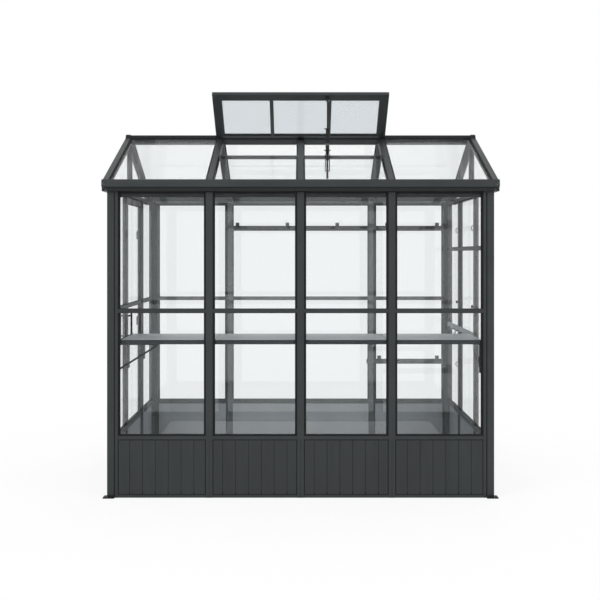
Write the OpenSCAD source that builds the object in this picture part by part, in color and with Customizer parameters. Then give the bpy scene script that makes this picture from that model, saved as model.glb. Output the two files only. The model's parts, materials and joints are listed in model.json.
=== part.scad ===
// Walk-in greenhouse: aluminium frame, clear glazing above low boarded panels,
// gable roof with gutters, a roof vent propped open by its opener, a hinged
// door in the left gable, and inside it a shelf, hanging bars and a tool rail.
// X runs along the ridge, the front wall faces -Y, Z = 0 is the ground.

/* [House] */
// Width over the corner posts, along the ridge
house_w = 2440; // [1900:10:3200]
// Depth over the front and back walls
house_d = 1900; // [1550:10:2600]
// Height of the wall posts
wall_h = 1933; // [1700:1:2400]
// Roof slope in degrees
roof_pitch = 22.3; // [15:0.1:35]
// How far the roof and gutters run past the corner posts
gable_overhang = 34; // [25:1:80]

/* [Wall frame] */
// Width of each corner post, both ways
corner_w = 68; // [50:1:100]
// Width of the front and back wall posts
post_w = 43; // [30:1:70]
// Width of the gable wall posts
gable_post_w = 40; // [30:1:60]
// Thickness of the wall frame, outside to inside
frame_t = 32; // [24:1:50]
// How far the rails stand back from the posts' outer face
rail_inset = 2; // [1:0.5:6]
// Height of the base rail
base_h = 18; // [12:1:40]
// Height of the front sill rail's top
sill_z = 398; // [300:1:700]
// Height of the other walls' and the door's sill rail tops
side_sill_z = 364; // [300:1:700]
// Depth of the sill rail
sill_h = 31; // [20:1:50]
// Height of the middle of the mid-rail
mid_z = 1178; // [900:1:1500]
// Height of the middle of the right gable's rail
right_rail_z = 1576; // [1400:1:1700]
// Depth of the mid-rails
mid_h = 26; // [16:1:40]
// Width of the decorative groove down each corner post
groove_w = 7; // [4:1:12]
// Distance from the post's outer edge to that groove
groove_from_edge = 43; // [30:1:44]
// Depth of that groove
groove_depth = 4; // [2:1:8]

/* [Infill] */
// Thickness of the clear panes
pane_t = 6; // [4:0.5:10]
// How far the panes stand back from the posts' outer face
pane_inset = 13; // [8:0.5:20]
// Thickness of the lower boarded panels
panel_t = 14; // [8:1:20]
// How far the panels stand back from the posts' outer face
panel_inset = 6; // [3:0.5:12]

/* [Roof] */
// Width of the rafters
rafter_w = 44; // [30:1:60]
// Depth of the rafters, square to the slope
rafter_h = 36; // [25:1:60]
// Width of the cap strips over the rafters
cap_w = 36; // [20:1:40]
// How far the cap strips stand above the panes
cap_up = 4; // [2:0.5:8]
// Width of the ridge beam
ridge_w = 50; // [40:1:80]
// Half width of the ridge cap
ridge_cap_half = 38; // [30:1:60]
// Thickness of the ridge cap's edge
ridge_cap_t = 22; // [16:1:35]
// Rise of the ridge cap from its edges to its flat top
ridge_cap_rise = 4; // [2:1:10]
// Width of the ridge cap's flat top
ridge_flat = 24; // [10:1:50]
// Depth of the gable ties
tie_h = 25; // [18:1:40]
// Width of the gable ties
tie_w = 66; // [50:1:90]
// Thickness of the king posts, along the ridge
king_t = 35; // [25:1:40]
// Width of the king posts
king_w = 34; // [25:1:50]
// How far the roof panes reach over the gutter
pane_over_gutter = 12; // [6:1:25]

// Bedding gap under the roof panes and caps
bed = 0.05; // [0.05:0.05:0.3]

/* [Gutter] */
// How far the gutter stands out from the wall
gutter_out = 45; // [35:1:80]
// How far its lower step stands out
gutter_step_out = 30; // [20:1:32]
// Height of the lower step
gutter_step_h = 25; // [15:1:30]
// Height of the gutter's lip above the wall posts
gutter_h = 73; // [65:1:90]
// Wall thickness of the gutter
gutter_t = 3; // [2:0.5:5]
// Height of the gutter's sloping lip
gutter_lip_h = 14; // [8:1:20]
// How far that lip leans in
gutter_lip_in = 9; // [5:1:15]
// How far the gutters stop short of the roof's ends
gutter_short = 9; // [4:1:20]
// How far the lower step stops short of each end
gutter_step_short = 12; // [5:1:20]
// Thickness of the end caps
end_cap_t = 3; // [2:0.5:5]
// How far the gutters' end caps reach below the step
end_cap_drop = 11; // [6:1:15]
// Height of the ridge's round end caps above the ridge beam's underside
ridge_plug_up = 34; // [28:1:40]
// How far those caps' radius exceeds half the ridge beam
ridge_plug_over = 5; // [2:1:8]

/* [Roof vent] */
// Distance of the vent purlin's upper edge from the ridge line, level
purlin_y = 400; // [300:1:480]
// Width of the purlin, along the slope
purlin_w = 26; // [20:1:40]
// Depth of the purlin, square to the slope
purlin_h = 20; // [15:1:30]
// Length of the vent, from the hinge to the free edge
vent_l = 456; // [440:1:520]
// Angle of the open vent above level
vent_angle = 33.8; // [25:0.1:45]
// How far the vent runs past the two side rafters' centre lines
vent_overlap = 27; // [20:1:40]
// Width of the vent's side and free rails
vent_rail_w = 60; // [40:1:80]
// Width of the vent's hinge rail
vent_hinge_rail_w = 24; // [20:1:70]
// Thickness of the vent's frame
vent_t = 25; // [20:1:40]
// Width of the vent's two mullions
mullion_w = 24; // [18:1:40]
// Position of the mullions either side of the middle
mullion_x = 200; // [150:1:250]
// Running gap between the vent's hinge rail and the ridge cap
hinge_gap = 0.3; // [0.2:0.1:1]

/* [Vent opener] */
// Position of the opener along the ridge
opener_x = 184; // [140:1:230]
// Diameter of the opener's cylinder
opener_d = 24; // [18:1:32]
// Diameter of the rod above the cylinder
opener_rod_d = 10; // [8:1:14]
// Diameter of the tail below the cylinder
opener_tail_d = 14; // [10:1:18]
// Height of the cylinder
opener_cylinder_l = 172; // [120:1:220]
// Length of the tail below the cylinder
opener_tail_l = 156; // [120:1:200]
// Distance from the opener's lower end to the vent, level
opener_lean = 76; // [60:1:100]
// Height from the opener's lower end to its pivot under the vent
opener_drop = 514; // [480:1:540]

/* [Door] */
// Spacing of the two gable posts either side of the door, centre to centre
door_bay = 710; // [600:10:900]
// Clearance all round the door leaf
door_gap = 5; // [5:0.5:10]
// Thickness of the door leaf
leaf_t = 24; // [22:1:32]
// Width of the leaf's stiles and top rail
stile_w = 40; // [30:1:60]
// Depth of the leaf's bottom rail
door_bottom_h = 45; // [30:1:80]
// Radius of the hinge knuckles
knuckle_r = 7; // [6:0.5:8]
// Radius of the hinge pins
hinge_pin_r = 3; // [2.5:0.5:4]
// Radial clearance between pin and knuckle
hinge_clear = 0.3; // [0.2:0.05:0.5]
// Length of each knuckle
knuckle_l = 30; // [20:1:50]
// Thickness of the hinge plates
hinge_plate_t = 3; // [2:0.5:4]
// Length of the hinge plates
hinge_plate_l = 34; // [26:1:37]
// Distance of the top and bottom hinges from the leaf's ends
hinge_from_end = 250; // [150:10:350]
// Height of the middle hinge above the leaf's middle
hinge_mid_up = 60; // [0:10:120]
// Height of the door pull's middle
handle_z = 1040; // [900:10:1140]
// Length of the door pull
handle_l = 180; // [120:10:220]
// How far the pull stands out from the leaf
handle_out = 34; // [28:1:36]
// Diameter of the pull's bar
handle_d = 14; // [10:1:18]

/* [Fittings] */
// Height of the shelf's top
shelf_z = 993; // [800:1:1100]
// Depth of the shelf, from the front wall inwards
shelf_d = 517; // [350:1:540]
// Height of the shelf trays' folded edges
tray_h = 22; // [16:1:40]
// Sheet thickness of the trays
tray_t = 3; // [2:0.5:4]
// Gap between neighbouring trays
tray_gap = 3; // [2:0.5:6]
// Height of the shelf brackets' arms
arm_h = 12; // [8:1:20]
// Thickness of the shelf brackets' struts
strut_t = 12; // [8:1:16]
// Drop of the shelf brackets' struts below the arms
strut_drop = 145; // [100:1:200]
// How far the struts reach out under the arms
strut_reach = 230; // [180:1:280]
// How far the brackets' feet reach below the struts
bracket_foot = 30; // [15:1:50]
// Length of the left end's bracket along the front wall
left_reach = 247; // [180:1:300]
// Distance from the front wall to the middle of that bracket
left_arm_in = 26; // [14:1:40]
// Thickness of the plates on the left gable posts
plate_t = 14; // [8:1:17]
// Height of the front plate, down from the trays
front_plate_h = 214; // [150:1:260]
// Height of the back plate, and how far its top lies under the trays
back_plate_h = 138; // [100:1:200]
back_plate_down = 86; // [60:1:120]
// Diameter of the hanging bars
bar_d = 41; // [25:1:50]
// Height of the upper hanging bar
upper_bar_z = 1743; // [1600:1:1800]
// Height of the lower hanging bar
lower_bar_z = 672; // [550:1:800]
// Gap between the hanging bars and the posts
bar_gap = 3; // [2:1:10]
// Distance of the upper bar's first lug from the back post
upper_lug_start = 68; // [40:1:120]
// Distance of the lower bar's first lug from the back post
lower_lug_start = 57; // [40:1:120]
// Distance of the last lugs from the corner post
lug_end = 54; // [30:1:100]
// How far the lower bar runs past its back post
lower_bar_over = 40; // [22:1:80]
// Height of the middle of the right gable's tool rail
tool_rail_z = 976; // [900:1:1100]
// Depth of the tool rail
tool_rail_h = 42; // [30:1:60]
// Thickness of the tool rail
tool_rail_t = 12; // [8:1:20]
// How far the tool rail stops short of the back corner post
tool_rail_short = 50; // [20:1:120]
// How far the foot plates stand out past the corner posts
foot_out = 24; // [15:1:33]
// Thickness of the foot plates
foot_t = 6; // [4:1:10]
// Length of the foot plates along each wall
foot_reach = 48; // [30:1:90]
// Radius of the rings for the ground bolts
foot_ring_r = 9; // [7:1:12]

/* [Hidden] */

$fn = 48;
half_w = house_w / 2;
half_d = house_d / 2;
roof_x = half_w + gable_overhang;
gutter_x = roof_x - gutter_short;
inner_x = half_w - frame_t;
inner_y = half_d - frame_t;
frame_grey = [0.25, 0.27, 0.27];
panel_grey = [0.24, 0.25, 0.26];
clear_tint = [0.85, 0.90, 0.92, 0.35];
shelf_grey = [0.55, 0.57, 0.58];

// Front and back walls: four bays of one pitch, with a post between each two.
bay_pitch = (house_w - 2 * corner_w) / 4;
post_xs = [-bay_pitch, 0, bay_pitch];
bay_lows = [-half_w + corner_w, for (x = post_xs) x + post_w / 2];
bay_highs = [for (x = post_xs) x - post_w / 2, half_w - corner_w];

// Gable walls: a door bay between two side bays.
gable_post_y = door_bay / 2;
gable_lows = [-half_d + corner_w, -gable_post_y + gable_post_w / 2, gable_post_y + gable_post_w / 2];
gable_highs = [-gable_post_y - gable_post_w / 2, gable_post_y - gable_post_w / 2, half_d - corner_w];

// Roof heights: the rafters' underside meets the top of the gable ties at the eave.
tie_top = wall_h + tie_h;
under_apex = tie_top + inner_y * tan(roof_pitch);
pane_lift = rafter_h + bed;
cap_lift = pane_lift + pane_t + cap_up;
function roof_z(y, lift) = under_apex - abs(y) * tan(roof_pitch) + lift / cos(roof_pitch);
ridge_low = roof_z(ridge_w / 2, 0);
ridge_edge_z = roof_z(ridge_cap_half, pane_lift + pane_t + bed);
ridge_top = ridge_edge_z + ridge_cap_t + ridge_cap_rise;
pane_end = half_d + pane_over_gutter;
// Panes overlap the bars under them by this much.
pane_seat = (rafter_w - cap_w) / 2;

// Purlin: its far edge along the slope, and where the panes below it start.
purlin_far = purlin_y + purlin_w * cos(roof_pitch);
pane_start = purlin_far - 2 * pane_seat;

// Vent: hinge line at the ridge cap's front edge, u runs out along the flap, v down through it.
vent_half_w = bay_pitch + vent_overlap;
vent_hinge_y = -ridge_cap_half - hinge_gap;
vent_hinge_z = ridge_edge_z + ridge_cap_t - 1;
vent_u1 = vent_l - vent_rail_w;
vent_pane_v = 8;

// Opener: its pivot hangs under the vent's free rail.
lug_drop = 28;
lug_u = vent_l - vent_rail_w / 2;
pivot_y = vent_hinge_y - lug_u * cos(vent_angle) - (vent_t + lug_drop) * sin(vent_angle);
pivot_z = vent_hinge_z + lug_u * sin(vent_angle) - (vent_t + lug_drop) * cos(vent_angle);
opener_tilt = atan(opener_lean / opener_drop);
opener_l = opener_drop / cos(opener_tilt);

// Door leaf, and its hinge line just outside the wall at the back post.
door_y0 = gable_lows[1] + door_gap;
door_y1 = gable_highs[1] - door_gap;
door_z0 = base_h + door_gap;
door_z1 = wall_h - door_gap;
leaf_in = -half_w + leaf_t;
hinge_off = knuckle_r + 1;
hinge_x = -half_w - hinge_off;
hinge_y = gable_highs[1] - door_gap / 2;
hinge_zs = [door_z0 + hinge_from_end, (door_z0 + door_z1) / 2 + hinge_mid_up, door_z1 - hinge_from_end];

// Shelf and bars
shelf_y0 = -inner_y;
shelf_y1 = -inner_y + shelf_d;
shelf_x = half_w - corner_w - 2;
shelf_low = shelf_z - tray_h;
tray_seam = bay_pitch - post_w / 2 - 10;
arm_w = 20;
bar_y = inner_y - bar_gap - bar_d / 2;
bar_end_x = half_w - corner_w;
lug_w = 29;
bar_lug_h = 25;

// A box between two corners.
module block(low, high) {
    translate(low) cube(high - low);
}

// An outline in Y and Z, drawn out along X.
module along_x(x0, x1, outline) {
    translate([x0, 0, 0]) rotate([90, 0, 90]) linear_extrude(x1 - x0) polygon(outline);
}

// A bar that follows the roof slope on one side (-1 front, 1 back).
module sloped(side, x0, x1, y0, y1, lift0, lift1) {
    along_x(x0, x1, [
        [side * y0, roof_z(y0, lift0)], [side * y1, roof_z(y1, lift0)],
        [side * y1, roof_z(y1, lift1)], [side * y0, roof_z(y0, lift1)]]);
}

// A box in the frame of the open vent: u from the hinge, v down through the flap.
module on_vent(x0, x1, u0, u1, v0, v1) {
    translate([0, vent_hinge_y, vent_hinge_z]) rotate([-vent_angle, 0, 0])
        block([x0, -u1, -v1], [x1, -u0, -v0]);
}

// Parts of a front or back wall, at one depth range behind its outer face.
module wall_bays(side, bays, depth0, depth1, z0, z1) {
    y_low = side < 0 ? -half_d + depth0 : half_d - depth1;
    y_high = side < 0 ? -half_d + depth1 : half_d - depth0;
    for (i = bays)
        block([bay_lows[i], y_low, z0], [bay_highs[i], y_high, z1]);
}

// The same for a gable wall (-1 left, 1 right).
module gable_bays(side, bays, depth0, depth1, z0, z1) {
    x_low = side < 0 ? -half_w + depth0 : half_w - depth1;
    x_high = side < 0 ? -half_w + depth1 : half_w - depth0;
    for (i = bays)
        block([x_low, gable_lows[i], z0], [x_high, gable_highs[i], z1]);
}

module corner_posts() {
    color(frame_grey)
    for (sx = [-1, 1], sy = [-1, 1])
        scale([sx, sy, 1]) difference() {
            block([half_w - corner_w, half_d - corner_w, 0], [half_w, half_d, wall_h]);
            block([half_w - groove_from_edge - groove_w, half_d - groove_depth, -1],
                  [half_w - groove_from_edge, half_d + 1, wall_h + 1]);
            block([half_w - groove_depth, half_d - groove_from_edge - groove_w, -1],
                  [half_w + 1, half_d - groove_from_edge, wall_h + 1]);
        }
}

module long_wall_posts(side) {
    y_low = side < 0 ? -half_d : inner_y;
    color(frame_grey)
    for (x = post_xs)
        block([x - post_w / 2, y_low, 0], [x + post_w / 2, y_low + frame_t, wall_h]);
}

module front_posts() { long_wall_posts(-1); }

module back_posts() { long_wall_posts(1); }

module gable_wall_posts(side) {
    x_low = side < 0 ? -half_w : inner_x;
    color(frame_grey)
    for (y = [-gable_post_y, gable_post_y])
        block([x_low, y - gable_post_w / 2, 0], [x_low + frame_t, y + gable_post_w / 2, wall_h]);
}

module left_posts() { gable_wall_posts(-1); }

module right_posts() { gable_wall_posts(1); }

module long_wall_rails(side, sill) {
    color(frame_grey) {
        wall_bays(side, [0:3], rail_inset, frame_t, 0, base_h);
        wall_bays(side, [0:3], rail_inset, frame_t, sill - sill_h, sill);
        wall_bays(side, [0:3], rail_inset, frame_t, mid_z - mid_h / 2, mid_z + mid_h / 2);
    }
}

module front_rails() { long_wall_rails(-1, sill_z); }

module back_rails() { long_wall_rails(1, side_sill_z); }

module gable_wall_rails(side, bays, rail_z) {
    color(frame_grey) {
        gable_bays(side, [0:2], rail_inset, frame_t, 0, base_h);
        gable_bays(side, bays, rail_inset, frame_t, side_sill_z - sill_h, side_sill_z);
        gable_bays(side, bays, rail_inset, frame_t, rail_z - mid_h / 2, rail_z + mid_h / 2);
    }
}

// The middle bay of the left gable is the doorway: only its threshold is fixed.
module left_rails() { gable_wall_rails(-1, [0, 2], mid_z); }

module right_rails() { gable_wall_rails(1, [0:2], right_rail_z); }

module front_panels() {
    color(panel_grey)
    wall_bays(-1, [0:3], panel_inset, panel_inset + panel_t, base_h, sill_z - sill_h);
}

module back_panels() {
    color(panel_grey)
    wall_bays(1, [0:3], panel_inset, panel_inset + panel_t, base_h, side_sill_z - sill_h);
}

module left_panels() {
    color(panel_grey)
    gable_bays(-1, [0, 2], panel_inset, panel_inset + panel_t, base_h, side_sill_z - sill_h);
}

module right_panels() {
    color(panel_grey)
    gable_bays(1, [0:2], panel_inset, panel_inset + panel_t, base_h, side_sill_z - sill_h);
}

module long_wall_glazing(side, sill) {
    color(clear_tint) {
        wall_bays(side, [0:3], pane_inset, pane_inset + pane_t, sill, mid_z - mid_h / 2);
        wall_bays(side, [0:3], pane_inset, pane_inset + pane_t, mid_z + mid_h / 2, wall_h);
    }
}

module front_glazing() { long_wall_glazing(-1, sill_z); }

module back_glazing() { long_wall_glazing(1, side_sill_z); }

module gable_wall_glazing(side, bays, rail_z) {
    color(clear_tint) {
        gable_bays(side, bays, pane_inset, pane_inset + pane_t, side_sill_z, rail_z - mid_h / 2);
        gable_bays(side, bays, pane_inset, pane_inset + pane_t, rail_z + mid_h / 2, wall_h);
    }
}

module left_glazing() { gable_wall_glazing(-1, [0, 2], mid_z); }

module right_glazing() { gable_wall_glazing(1, [0:2], right_rail_z); }

module eave_beams() {
    color(frame_grey)
    for (side = [-1, 1])
        along_x(-roof_x, roof_x, [
            [side * inner_y, wall_h], [side * half_d, wall_h],
            [side * half_d, roof_z(half_d, rafter_h)], [side * inner_y, roof_z(inner_y, rafter_h)]]);
}

// Folded gutters: out along the lower step, up the front and over at the lip, then back inside.
module gutters() {
    out = half_d + gutter_out;
    step = half_d + gutter_step_out;
    step_z = wall_h + gutter_step_h;
    lip_z = wall_h + gutter_h;
    color(frame_grey)
    for (side = [-1, 1])
        difference() {
            along_x(-gutter_x, gutter_x, [for (p = [
                [half_d, wall_h], [step, wall_h], [step, step_z], [out, step_z],
                [out, lip_z - gutter_lip_h], [out - gutter_lip_in, lip_z],
                [out - gutter_lip_in - gutter_t, lip_z - 2],
                [out - gutter_t, lip_z - gutter_lip_h - 1], [out - gutter_t, step_z + gutter_t],
                [step - gutter_t, step_z + gutter_t], [step - gutter_t, wall_h + gutter_t],
                [half_d + gutter_t, wall_h + gutter_t],
                [half_d + gutter_t, roof_z(half_d + gutter_t, pane_lift) - 2],
                [half_d, roof_z(half_d + gutter_t, pane_lift) - 2]]) [side * p[0], p[1]]]);
            for (sx = [-1, 1])
                scale([sx, side, 1])
                    block([gutter_x - gutter_step_short, half_d - 1, wall_h - 1],
                          [gutter_x + 1, step + 1, step_z - end_cap_drop]);
        }
}

// Stepped plates that close the gutters' four ends, notched under the cap strips,
// and round caps on the ridge's two ends.
module end_caps() {
    out = half_d + gutter_out;
    step_z = wall_h + gutter_step_h;
    notch_y = pane_end + 1;
    notch_z = roof_z(notch_y, pane_lift) - 1;
    color(frame_grey) {
        for (sx = [-1, 1], side = [-1, 1])
            scale([sx, 1, 1])
                along_x(gutter_x, gutter_x + end_cap_t, [for (p = [
                    [half_d, step_z - end_cap_drop], [half_d + gutter_step_out, step_z - end_cap_drop],
                    [half_d + gutter_step_out + 1, step_z], [out, step_z],
                    [out, wall_h + gutter_h - gutter_lip_h], [out - gutter_lip_in, wall_h + gutter_h],
                    [notch_y, wall_h + gutter_h], [notch_y, notch_z], [half_d, notch_z]])
                    [side * p[0], p[1]]]);
        for (sx = [-1, 1])
            translate([sx * (roof_x + end_cap_t / 2), 0, ridge_low + ridge_plug_up]) rotate([0, 90, 0])
                cylinder(h = end_cap_t, r = ridge_w / 2 + ridge_plug_over, center = true);
    }
}

module gable_ties() {
    color(frame_grey)
    for (side = [-1, 1]) {
        x_low = side < 0 ? -roof_x : roof_x - tie_w;
        block([x_low, -inner_y, wall_h], [x_low + tie_w, inner_y, tie_top]);
    }
}

module king_posts() {
    color(frame_grey)
    for (side = [-1, 1]) {
        x_mid = side * (roof_x - rafter_w / 2 - 1);
        block([x_mid - king_t / 2, -king_w / 2, tie_top], [x_mid + king_t / 2, king_w / 2, ridge_low]);
    }
}

module gable_rafters() {
    color(frame_grey)
    for (sx = [-1, 1], side = [-1, 1]) {
        x_low = sx < 0 ? -roof_x : roof_x - rafter_w;
        sloped(side, x_low, x_low + rafter_w, ridge_w / 2, inner_y, 0, rafter_h);
    }
}

module roof_bars() {
    color(frame_grey)
    for (x = post_xs, side = [-1, 1])
        sloped(side, x - rafter_w / 2, x + rafter_w / 2, ridge_w / 2, inner_y, 0, rafter_h);
}

// Cap strips hold the panes down on every rafter; the front middle one starts at the purlin.
module roof_caps() {
    color(frame_grey)
    for (side = [-1, 1]) {
        for (x = post_xs)
            sloped(side, x - cap_w / 2, x + cap_w / 2,
                   side < 0 && x == 0 ? pane_start : ridge_cap_half, pane_end, pane_lift, cap_lift);
        for (sx = [-1, 1]) {
            x_low = sx < 0 ? -roof_x : roof_x - cap_w;
            sloped(side, x_low, x_low + cap_w, ridge_cap_half, pane_end, pane_lift, cap_lift);
        }
    }
}

module ridge_beam() {
    h = ridge_w / 2;
    color(frame_grey)
    along_x(-roof_x, roof_x, [
        [-h, ridge_low], [h, ridge_low], [h, roof_z(h, rafter_h)],
        [0, roof_z(0, rafter_h)], [-h, roof_z(h, rafter_h)]]);
}

module ridge_cap() {
    c = ridge_cap_half;
    seat = pane_lift + pane_t + bed;
    edge_top = ridge_edge_z + ridge_cap_t;
    color(frame_grey)
    along_x(-roof_x, roof_x, [
        [-c, roof_z(c, seat)], [0, roof_z(0, seat)], [c, roof_z(c, seat)],
        [c, edge_top], [ridge_flat / 2, ridge_top], [-ridge_flat / 2, ridge_top], [-c, edge_top]]);
}

// Clear triangles between tie, king post and rafters.
module gable_glazing() {
    k = king_w / 2;
    r = ridge_w / 2;
    color(clear_tint)
    for (sx = [-1, 1], side = [-1, 1]) {
        x_mid = sx * (roof_x - rafter_w / 2 - 1);
        along_x(x_mid - pane_t / 2, x_mid + pane_t / 2, [
            [side * k, tie_top], [side * inner_y, tie_top], [side * r, ridge_low], [side * k, ridge_low]]);
    }
}

// Panes of one roof slope: each runs from its start line to just over the gutter.
module slope_panes(side, starts) {
    edges = [-roof_x + cap_w, for (x = post_xs) x + cap_w / 2];
    ends = [for (x = post_xs) x - cap_w / 2, roof_x - cap_w];
    color(clear_tint)
    for (i = [0:3])
        sloped(side, edges[i], ends[i], starts[i], pane_end, pane_lift, pane_lift + pane_t);
}

module front_roof_glazing() {
    ridge_start = 2;
    slope_panes(-1, [ridge_start, pane_start, pane_start, ridge_start]);
}

module back_roof_glazing() {
    ridge_start = 2;
    slope_panes(1, [for (i = [0:3]) ridge_start]);
}

module vent_purlins() {
    color(frame_grey)
    for (x = [[-bay_pitch, 0], [0, bay_pitch]])
        translate([0, -purlin_y, roof_z(purlin_y, rafter_h)]) rotate([roof_pitch, 0, 0])
            block([x[0] + rafter_w / 2, -purlin_w, -purlin_h], [x[1] - rafter_w / 2, 0, 0]);
}

module vent_rails() {
    color(frame_grey) {
        on_vent(-vent_half_w, vent_half_w, 0, vent_hinge_rail_w, 0, vent_t);
        on_vent(-vent_half_w, vent_half_w, vent_u1, vent_l, 0, vent_t);
    }
}

module vent_bars() {
    color(frame_grey) {
        for (x = [-vent_half_w, vent_half_w - vent_rail_w])
            on_vent(x, x + vent_rail_w, vent_hinge_rail_w, vent_u1, 0, vent_t);
        for (x = [-mullion_x, mullion_x])
            on_vent(x - mullion_w / 2, x + mullion_w / 2, vent_hinge_rail_w, vent_u1, 0, vent_t);
    }
}

module vent_glazing() {
    m = mullion_w / 2;
    edges = [-vent_half_w + vent_rail_w, -mullion_x + m, mullion_x + m];
    ends = [-mullion_x - m, mullion_x - m, vent_half_w - vent_rail_w];
    color(clear_tint)
    for (i = [0:2])
        on_vent(edges[i], ends[i], vent_hinge_rail_w, vent_u1, vent_pane_v, vent_pane_v + pane_t);
}

// Heat-driven opener: a lug under the vent's free rail, the rod, the cylinder with its
// collars, and a tail that an arm holds to the purlin.
module vent_opener() {
    collar_r = opener_d / 2 + 6;
    collar_t = 6;
    arm_t = 5;
    color([0.32, 0.33, 0.34]) {
        on_vent(opener_x - 14, opener_x + 14, lug_u - 18, lug_u + 18, vent_t, vent_t + 3);
        on_vent(opener_x - 4, opener_x + 4, lug_u - 10, lug_u + 10, vent_t + 2, vent_t + lug_drop + 6);
        translate([opener_x, pivot_y + opener_lean, pivot_z - opener_drop]) rotate([opener_tilt, 0, 0]) {
            cylinder(h = opener_l, d = opener_rod_d);
            cylinder(h = opener_tail_l + 1, d = opener_tail_d);
            translate([0, 0, opener_tail_l]) cylinder(h = opener_cylinder_l, d = opener_d);
            for (z = [opener_tail_l + 24, opener_tail_l + opener_cylinder_l])
                translate([0, 0, z]) cylinder(h = collar_t, r = collar_r);
        }
        translate([0, -purlin_y, roof_z(purlin_y, rafter_h)]) rotate([roof_pitch, 0, 0])
            block([opener_x - 16, -purlin_w + 4, -purlin_h - arm_t], [opener_x + 16, 40, -purlin_h]);
    }
}

module door_stiles() {
    color(frame_grey)
    for (y = [door_y0, door_y1 - stile_w])
        block([-half_w, y, door_z0], [leaf_in, y + stile_w, door_z1]);
}

// Bottom, sill, middle and top rail, between the stiles.
module door_rails() {
    color(frame_grey)
    for (z = [[door_z0, door_z0 + door_bottom_h], [side_sill_z - sill_h, side_sill_z],
              [mid_z - mid_h / 2, mid_z + mid_h / 2], [door_z1 - stile_w, door_z1]])
        block([-half_w + rail_inset, door_y0 + stile_w, z[0]], [leaf_in, door_y1 - stile_w, z[1]]);
}

module door_panel() {
    color(panel_grey)
    block([-half_w + panel_inset, door_y0 + stile_w, door_z0 + door_bottom_h],
          [-half_w + panel_inset + panel_t, door_y1 - stile_w, side_sill_z - sill_h]);
}

module door_glazing() {
    color(clear_tint)
    for (z = [[side_sill_z, mid_z - mid_h / 2], [mid_z + mid_h / 2, door_z1 - stile_w]])
        block([-half_w + pane_inset, door_y0 + stile_w, z[0]],
              [-half_w + pane_inset + pane_t, door_y1 - stile_w, z[1]]);
}

// A pull on each face of the leaf: a bar on two feet.
module door_handle() {
    y = door_y0 + stile_w / 2;
    r = handle_d / 2;
    color([0.2, 0.21, 0.21])
    for (face = [[-half_w, -1], [leaf_in, 1]]) {
        x_bar = face[0] + face[1] * (handle_out - r);
        translate([x_bar, y, handle_z - handle_l / 2]) cylinder(h = handle_l, r = r);
        for (z = [handle_z - handle_l / 2 + 20, handle_z + handle_l / 2 - 20])
            translate([min(face[0], x_bar), y, z]) rotate([0, 90, 0])
                cylinder(h = handle_out - r, r = r - 1);
    }
}

// Half of each hinge: plate and bored upper knuckle on the door.
module door_hinge_leaves() {
    color(frame_grey)
    for (z = hinge_zs)
        difference() {
            union() {
                translate([hinge_x, hinge_y, z + 1]) cylinder(h = knuckle_l, r = knuckle_r);
                block([-half_w - hinge_plate_t, hinge_y - hinge_plate_l, z + 1],
                      [-half_w, hinge_y - door_gap / 2 - 1, z + 1 + knuckle_l]);
                block([hinge_x, hinge_y - knuckle_r, z + 1],
                      [-half_w, hinge_y - door_gap / 2 - 1, z + 1 + knuckle_l]);
            }
            translate([hinge_x, hinge_y, z]) cylinder(h = knuckle_l + 2, r = hinge_pin_r + hinge_clear);
        }
}

// Other half: plate, lower knuckle and the pin, on the post.
module post_hinge_leaves() {
    post_edge = hinge_y + door_gap / 2;
    color(frame_grey)
    for (z = hinge_zs) {
        translate([hinge_x, hinge_y, z - knuckle_l]) cylinder(h = knuckle_l, r = knuckle_r);
        translate([hinge_x, hinge_y, z - 1]) cylinder(h = knuckle_l + 2, r = hinge_pin_r);
        block([-half_w - hinge_plate_t, post_edge, z - knuckle_l],
              [-half_w, post_edge + hinge_plate_l, z]);
        block([hinge_x, post_edge, z - knuckle_l], [-half_w, hinge_y + knuckle_r, z]);
    }
}

// Folded sheet trays, open underneath.
module shelf_trays() {
    g = tray_gap / 2;
    spans = [[-shelf_x, -tray_seam - g], [-tray_seam + g, -g], [g, tray_seam - g], [tray_seam + g, shelf_x]];
    color(shelf_grey)
    for (s = spans)
        difference() {
            block([s[0], shelf_y0, shelf_low], [s[1], shelf_y1, shelf_z]);
            block([s[0] + tray_t, shelf_y0 + tray_t, shelf_low - 1],
                  [s[1] - tray_t, shelf_y1 - tray_t, shelf_z - tray_t]);
        }
}

// A flat bar from a low point to a high point, in the plane across X or across Y.
module strut(low, high, across) {
    d = high - low;
    l = norm(d);
    translate(low)
    if (across)
        rotate([atan2(d[2], d[1]), 0, 0]) translate([-strut_t / 2, 0, -strut_t]) cube([strut_t, l, strut_t]);
    else
        rotate([0, -atan2(d[2], d[0]), 0]) translate([0, -strut_t / 2, -strut_t]) cube([l, strut_t, strut_t]);
}

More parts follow.
